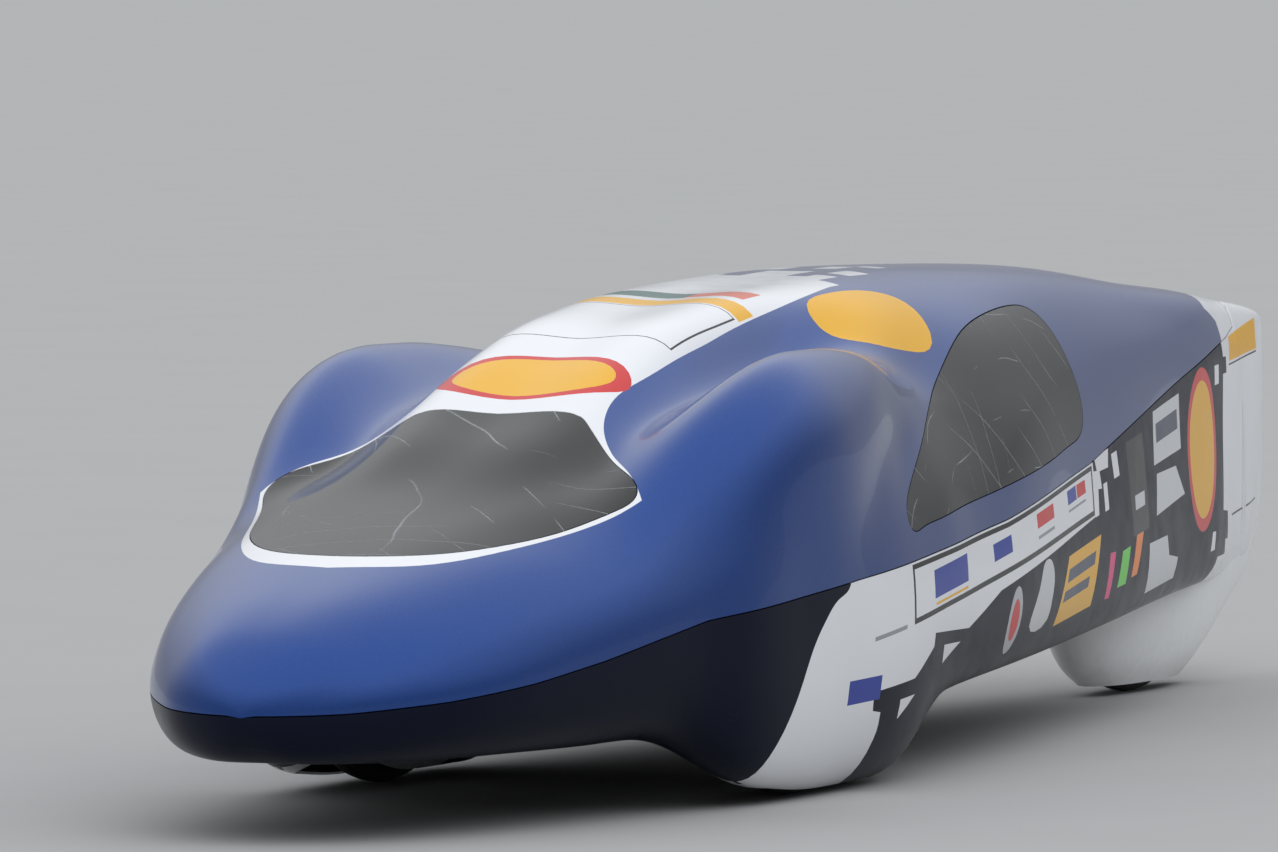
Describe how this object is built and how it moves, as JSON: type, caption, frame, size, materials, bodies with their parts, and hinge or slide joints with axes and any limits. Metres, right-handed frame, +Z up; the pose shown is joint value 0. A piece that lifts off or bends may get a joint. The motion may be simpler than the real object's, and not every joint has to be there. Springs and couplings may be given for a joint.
{
  "type": "prototype car",
  "caption": "Low streamlined single-seat economy prototype car: composite teardrop body with wheel humps, spats, smoked panes and a lift-off upper shell.",
  "frame": {"origin": "on the ground under the middle of the car's length and width", "axes": "+Z up, -Y towards the nose, +X to the car's left"},
  "size_m": [0.7104, 3.048, 0.5816],
  "materials": {
    "blue_paint": "metallic clear-coated paint on a composite shell",
    "navy_vinyl": "semi-gloss vinyl film on a composite shell",
    "white_gloss": "gloss paint on a composite shell",
    "smoked_pane": "smoked clear sheet with fine scratches",
    "aluminium": "machined",
    "steel": "bright",
    "steel_tube": "satin black powder coat",
    "carbon_panel": "satin woven composite",
    "carbon_rim": "satin composite",
    "black_rubber": "matt",
    "tyre_rubber": "matt, worn",
    "seat_foam": "foam under black cloth",
    "cast_block": "plain cast"
  },
  "bodies": {
    "chassis": {"lower_tub": "navy_vinyl", "rear_spat": "white_gloss", "front_axle_beam": "aluminium", "kingpin_left": "steel", "kingpin_right": "steel", "firewall": "carbon_panel", "roll_hoop": "steel_tube", "seat": "carbon_panel", "headrest": "seat_foam", "footrest": "carbon_panel", "stay_left": "aluminium", "stay_right": "aluminium", "engine_block": "cast_block", "engine_mount": "carbon_panel", "rear_axle": "steel"},
    "lid": {"upper_shell": "blue_paint", "windshield": "smoked_pane", "side_window_left": "smoked_pane", "side_window_right": "smoked_pane"},
    "steered_left": {"knuckle_left": "aluminium", "axle_nut_left": "steel"},
    "steered_right": {"knuckle_right": "aluminium", "axle_nut_right": "steel"},
    "tie_rod": {"tie_rod": "steel"},
    "steering": {"steering_column": "aluminium", "grip_left": "black_rubber", "grip_right": "black_rubber"},
    "wheel_front_left": {"tyre_front_left": "tyre_rubber", "rim_front_left": "carbon_rim", "hub_front_left": "aluminium"},
    "wheel_front_right": {"tyre_front_right": "tyre_rubber", "rim_front_right": "carbon_rim", "hub_front_right": "aluminium"},
    "wheel_rear": {"tyre_rear": "tyre_rubber", "rim_rear": "carbon_rim", "hub_rear": "aluminium", "rear_sprocket": "steel"}
  },
  "joints": [
    {"name": "lid_lift", "type": "slide", "parent": "chassis", "child": "lid", "axis": [0, 0, 1], "range_m": [0, 0.45]},
    {"name": "steer_left", "type": "hinge", "parent": "chassis", "child": "steered_left", "pos_m": [0.198, -0.628, 0.239], "axis": [0, 0, 1], "range_deg": [-9, 9]},
    {"name": "steer_right", "type": "hinge", "parent": "chassis", "child": "steered_right", "pos_m": [-0.198, -0.628, 0.239], "axis": [0, 0, 1], "range_deg": [-9, 9]},
    {"name": "column_turn", "type": "hinge", "parent": "chassis", "child": "steering", "pos_m": [0, -0.628, 0.2], "axis": [0, 0, 1], "range_deg": [-9, 9]},
    {"name": "tie_rod_shift", "type": "slide", "parent": "chassis", "child": "tie_rod", "axis": [1, 0, 0], "range_m": [-0.0095, 0.0095]},
    {"name": "spin_front_left", "type": "hinge", "parent": "steered_left", "child": "wheel_front_left", "pos_m": [0.26, -0.628, 0.239], "axis": [1, 0, 0], "continuous": true},
    {"name": "spin_front_right", "type": "hinge", "parent": "steered_right", "child": "wheel_front_right", "pos_m": [-0.26, -0.628, 0.239], "axis": [1, 0, 0], "continuous": true},
    {"name": "spin_rear", "type": "hinge", "parent": "chassis", "child": "wheel_rear", "pos_m": [0, 1.052, 0.239], "axis": [1, 0, 0], "continuous": true}
  ],
  "couplings": [
    {"joint": "steer_right", "follows": "steer_left", "ratio": 1},
    {"joint": "column_turn", "follows": "steer_left", "ratio": 1},
    {"joint": "tie_rod_shift", "follows": "steer_left", "m_per_rad": -0.06}
  ]
}
